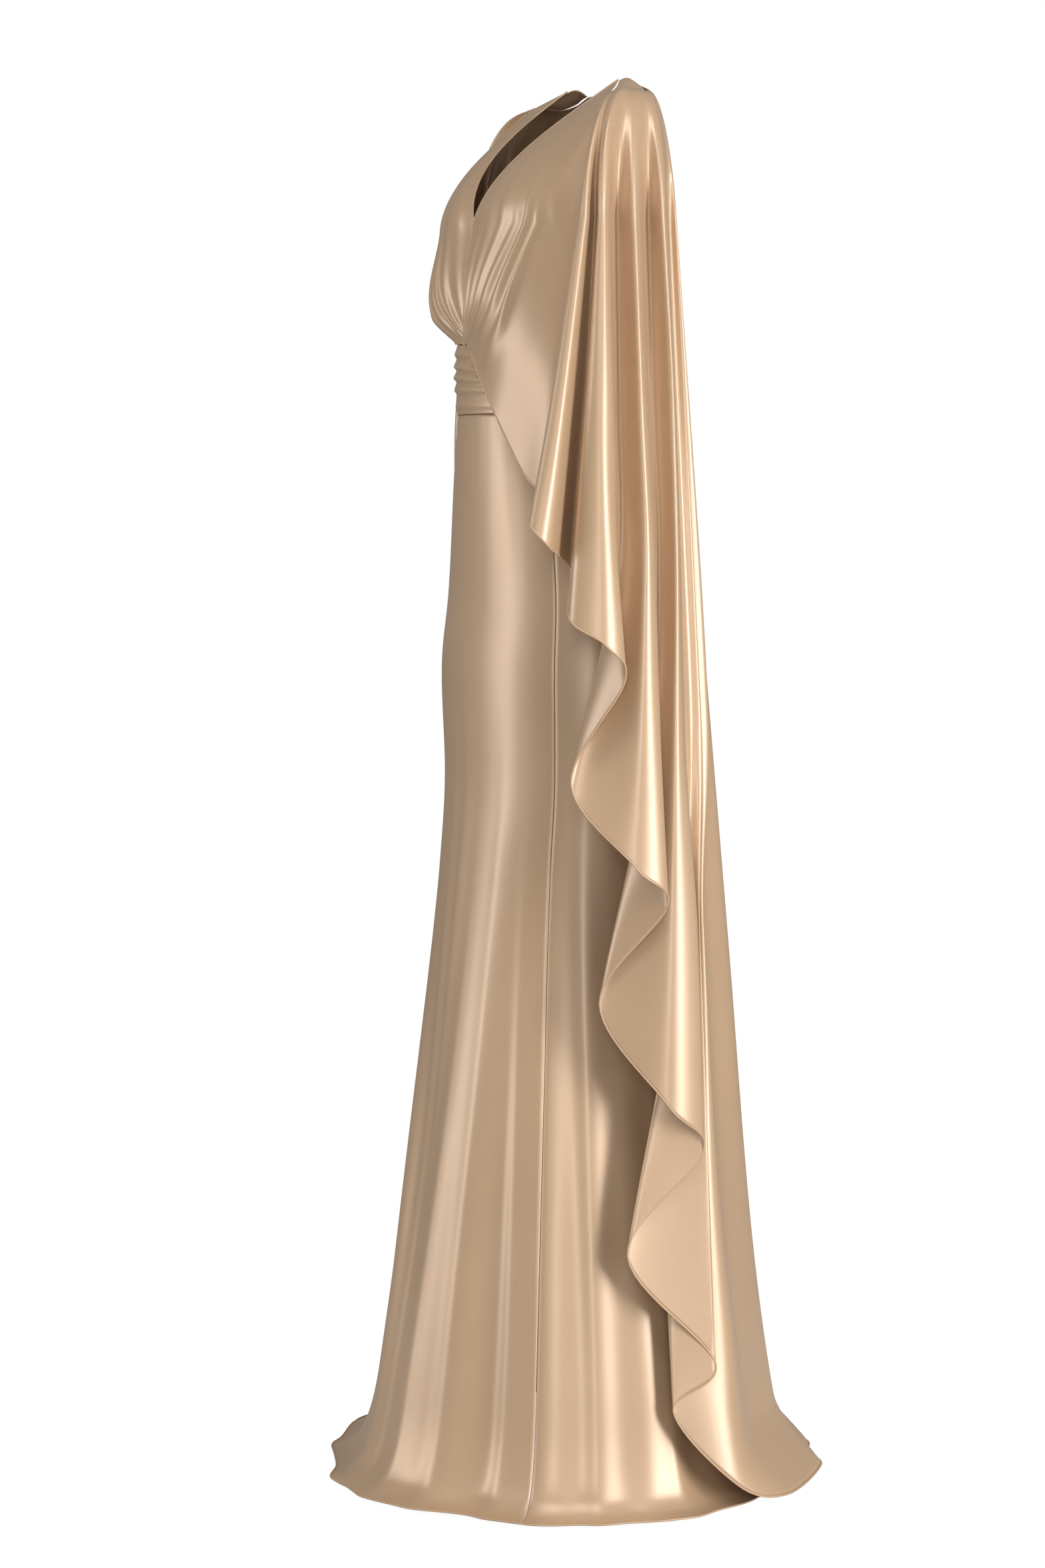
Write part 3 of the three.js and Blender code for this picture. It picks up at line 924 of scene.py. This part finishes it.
        def surface(us: np.ndarray, falls: np.ndarray) -> np.ndarray:
            """Points of the face, by line and by share of the fall."""
            traces = np.stack([self.trace(line, chest, falls) for line, chest in zip(lines, calm)])
            points = between(traces, us)
            front = np.clip(us / self.drape_lines, 0.0, 1.0)[:, None]
            held = smooth((1.0 - falls) / self.gather_end)
            for fold in self.folds:
                near = held * smooth((fold.top - points[:, :, 2]) / (fold.top - self.gather_full))
                ridge = lopsided(front - fold.place, fold.before, fold.after)
                points[:, :, 1] -= fold.lift * near * ridge
            if side is Side.RIGHT:
                aside = smooth(np.abs(points[:, :, 0]) / self.overlap_width)
                points[:, :, 1] += self.overlap_step * (1 - aside)
            points[:, :, 0] *= side.value
            return points

        return surface

    def across(self) -> np.ndarray:
        """Places across the cape, closest together on the drape.

        Returns:
            Places counted in lines.
        """
        last = len(self.left) - 1
        front = np.linspace(0.0, self.drape_lines, self.drape_count)
        steps = (last - self.drape_lines) * self.line_steps
        return np.concatenate([front, np.linspace(self.drape_lines, last, steps + 1)[1:]])

    def down(self) -> np.ndarray:
        """Places down the cape, closest together at the shoulder and the hem.

        Returns:
            Shares of the fall.
        """
        shoulder = np.linspace(0.0, 1.0, self.shoulder_count) ** self.shoulder_power * self.shoulder_fall
        length = np.linspace(self.shoulder_fall, self.hem_fall, self.length_count)[1:]
        hem = np.linspace(self.hem_fall, 1.0, self.hem_count)[1:]
        return np.concatenate([shoulder, length, hem])

    def build(self, tailor: Tailor) -> None:
        """Makes both sides with their rolled edges.

        Args:
            tailor: Makes the cloth and the rolled edges.
        """
        across, down = self.across(), self.down()
        for side in Side:
            node = f"cape_{side.name.lower()}"
            surface = self.face(side)
            piece = tailor.cloth(node, surface, across, down, outward=side is Side.RIGHT)
            hem = tailor.rolled_edge(f"{node}_hem", surface(across, down[-1:])[:, 0])
            neck = tailor.rolled_edge(f"{node}_neck_edge", surface(across[:1], down)[0])


@dataclass
class Yoke:
    """Small yoke on top of each shoulder, inside the rim of the cape.

    fore and aft are the shares of the rim where its neck edge starts and ends,
    and travel is how much of the rim each end runs along.
    """

    cape: Cape = field(default_factory=Cape)
    fore: float = 0.01
    aft: float = 0.84
    travel: float = 0.36
    margin: float = 0.09
    span: float = 0.82
    inset: float = 2.3
    crown: float = 5.0
    crown_loss: float = 0.7
    drop: float = 0.5
    reach: float = 0.92
    across_count: int = 31
    down_count: int = 41

    def face(self, side: Side) -> Surface:
        """The outer face of one yoke.

        Args:
            side: The wearer's left or right.

        Returns:
            The surface from neck to arm, and from front to back.
        """

        def surface(us: np.ndarray, vs: np.ndarray) -> np.ndarray:
            """Points of the face, from neck to arm and from front to back."""
            rows = []
            for u in us:
                fore = self.cape.rim_point(self.fore + self.travel * u)
                aft = self.cape.rim_point(self.aft - self.travel * u)
                share = (self.margin + self.span * vs)[:, None]
                points = fore + (aft - fore) * share
                crown = self.crown * (1 - self.crown_loss * u)
                points[:, 2] += crown * np.sin(math.pi * vs) - self.drop
                points[:, 0] -= self.inset * u
                points[:, 0] *= side.value
                rows.append(points)
            return np.stack(rows)

        return surface

    def build(self, tailor: Tailor) -> None:
        """Makes both yokes.

        Args:
            tailor: Makes the cloth.
        """
        across = np.linspace(0.0, self.reach, self.across_count)
        down = np.linspace(0.0, 1.0, self.down_count)
        for side in Side:
            node = f"shoulder_yoke_{side.name.lower()}"
            piece = tailor.cloth(node, self.face(side), across, down, outward=side is Side.RIGHT)


@dataclass(frozen=True)
class Softbox:
    """One area light: degrees round from the camera, metres and watts."""

    name: str
    turn: float
    distance: float
    height: float
    width: float
    tall: float
    power: float


@dataclass
class Studio:
    """Camera, soft lights, pale floor and white surroundings, in metres and degrees."""

    azimuth: float = 65.0
    distance: float = 4.0
    height: float = 1.1
    sideways: float = 0.051
    pitch: float = 4.6
    lens: float = 81.2
    sensor: float = 36.0
    floor_half: float = 40.0
    floor_gap: float = 0.001
    floor_glow: float = 0.93
    floor_shown: tuple[float, ...] = (0.28, 0.28, 0.28, 1.0)
    floor_plain: tuple[float, ...] = (0.6, 0.58, 0.56, 1.0)
    floor_roughness: float = 0.9
    white: tuple[float, ...] = (1.0, 1.0, 1.0, 1.0)
    fill_colour: tuple[float, ...] = (1.0, 0.97, 0.94, 1.0)
    fill_strength: float = 0.24
    dress_middle: float = -0.75
    softboxes: tuple[Softbox, ...] = (
        Softbox("key", 48.0, 3.2, 0.5, 0.6, 2.8, 106.0),
        Softbox("strip", -3.0, 4.6, 0.4, 0.4, 2.8, 42.0),
        Softbox("left_rim", -80.0, 3.2, 0.4, 0.8, 2.8, 42.0),
        Softbox("top", 0.0, 1.3, 2.6, 1.2, 1.2, 26.0),
    )

    def build(self) -> None:
        """Makes the whole studio."""
        self._camera()
        self._floor()
        self._world()
        for softbox in self.softboxes:
            self._light(softbox)

    def _camera(self) -> None:
        """The camera at the photo's angle."""
        turn = math.radians(self.azimuth)
        back = Vector((math.sin(turn), -math.cos(turn), 0.0))
        across = Vector((math.cos(turn), math.sin(turn), 0.0))
        lens = bpy.data.cameras.new("camera")
        lens.lens = self.lens
        lens.sensor_width = self.sensor
        camera = bpy.data.objects.new("camera", lens)
        camera.location = back * self.distance - across * self.sideways
        camera.location.z = self.height - SHOULDER * MM
        camera.rotation_euler = (math.radians(90.0 - self.pitch), 0.0, turn)
        bpy.context.scene.collection.objects.link(camera)
        bpy.context.scene.camera = camera

    def _floor(self) -> None:
        """A wide pale floor, which the camera sees brighter than the dress does."""
        mesh = bmesh.new()
        bmesh.ops.create_grid(mesh, x_segments=1, y_segments=1, size=self.floor_half)
        bmesh.ops.translate(mesh, verts=mesh.verts, vec=(0.0, 0.0, -SHOULDER * MM - self.floor_gap))
        data = bpy.data.meshes.new("floor")
        mesh.to_mesh(data)
        mesh.free()
        paint = bpy.data.materials.new("floor_paint")
        paint.use_nodes = True
        nodes, links = paint.node_tree.nodes, paint.node_tree.links
        seen = nodes["Principled BSDF"]
        seen.inputs["Base Color"].default_value = self.floor_shown
        seen.inputs["Roughness"].default_value = self.floor_roughness
        seen.inputs["Emission Color"].default_value = self.white
        seen.inputs["Emission Strength"].default_value = self.floor_glow
        plain = nodes.new("ShaderNodeBsdfPrincipled")
        plain.inputs["Base Color"].default_value = self.floor_plain
        plain.inputs["Roughness"].default_value = self.floor_roughness
        ray, mix = nodes.new("ShaderNodeLightPath"), nodes.new("ShaderNodeMixShader")
        links.new(ray.outputs["Is Camera Ray"], mix.inputs["Fac"])
        links.new(plain.outputs["BSDF"], mix.inputs[1])
        links.new(seen.outputs["BSDF"], mix.inputs[2])
        links.new(mix.outputs["Shader"], nodes["Material Output"].inputs["Surface"])
        data.materials.append(paint)
        floor = bpy.data.objects.new("floor", data)
        bpy.context.scene.collection.objects.link(floor)

    def _world(self) -> None:
        """White behind the dress, and a dimmer even light on it."""
        world = bpy.data.worlds.new("studio")
        bpy.context.scene.world = world
        world.use_nodes = True
        nodes, links = world.node_tree.nodes, world.node_tree.links
        seen = nodes["Background"]
        seen.inputs["Color"].default_value = self.white
        seen.inputs["Strength"].default_value = 1.0
        fill = nodes.new("ShaderNodeBackground")
        fill.inputs["Color"].default_value = self.fill_colour
        fill.inputs["Strength"].default_value = self.fill_strength
        ray, mix = nodes.new("ShaderNodeLightPath"), nodes.new("ShaderNodeMixShader")
        links.new(ray.outputs["Is Camera Ray"], mix.inputs["Fac"])
        links.new(fill.outputs["Background"], mix.inputs[1])
        links.new(seen.outputs["Background"], mix.inputs[2])
        links.new(mix.outputs["Shader"], nodes["World Output"].inputs["Surface"])

    def _light(self, softbox: Softbox) -> None:
        """One soft area light that faces the dress's middle.

        Args:
            softbox: Its place, size and power.
        """
        turn = math.radians(self.azimuth + softbox.turn)
        data = bpy.data.lights.new(softbox.name, "AREA")
        data.shape = "RECTANGLE"
        data.size = softbox.width
        data.size_y = softbox.tall
        data.energy = softbox.power
        lamp = bpy.data.objects.new(softbox.name, data)
        middle = Vector((0.0, 0.0, self.dress_middle))
        away = Vector((math.sin(turn), -math.cos(turn), 0.0)) * softbox.distance
        lamp.location = middle + away + Vector((0.0, 0.0, softbox.height))
        lamp.rotation_mode = "QUATERNION"
        lamp.rotation_quaternion = (middle - lamp.location).to_track_quat("-Z", "Y")
        bpy.context.scene.collection.objects.link(lamp)


def main() -> None:
    """Builds the studio and the dress."""
    logging.basicConfig(level=logging.INFO, format="%(name)s: %(message)s")
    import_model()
    scene = bpy.context.scene
    scene.view_settings.view_transform = "Standard"
    Studio().build()
    shader = SatinShader(Weave())
    tailor = Tailor(shader.material(CHAMPAGNE), shader.material(EDGE))
    Skirt().build(tailor)
    Waistband().build(tailor)
    Bodice().build(tailor)
    Cape().build(tailor)
    Yoke().build(tailor)
    LOG.info("sizes written")


if __name__ == "__main__":
    main()
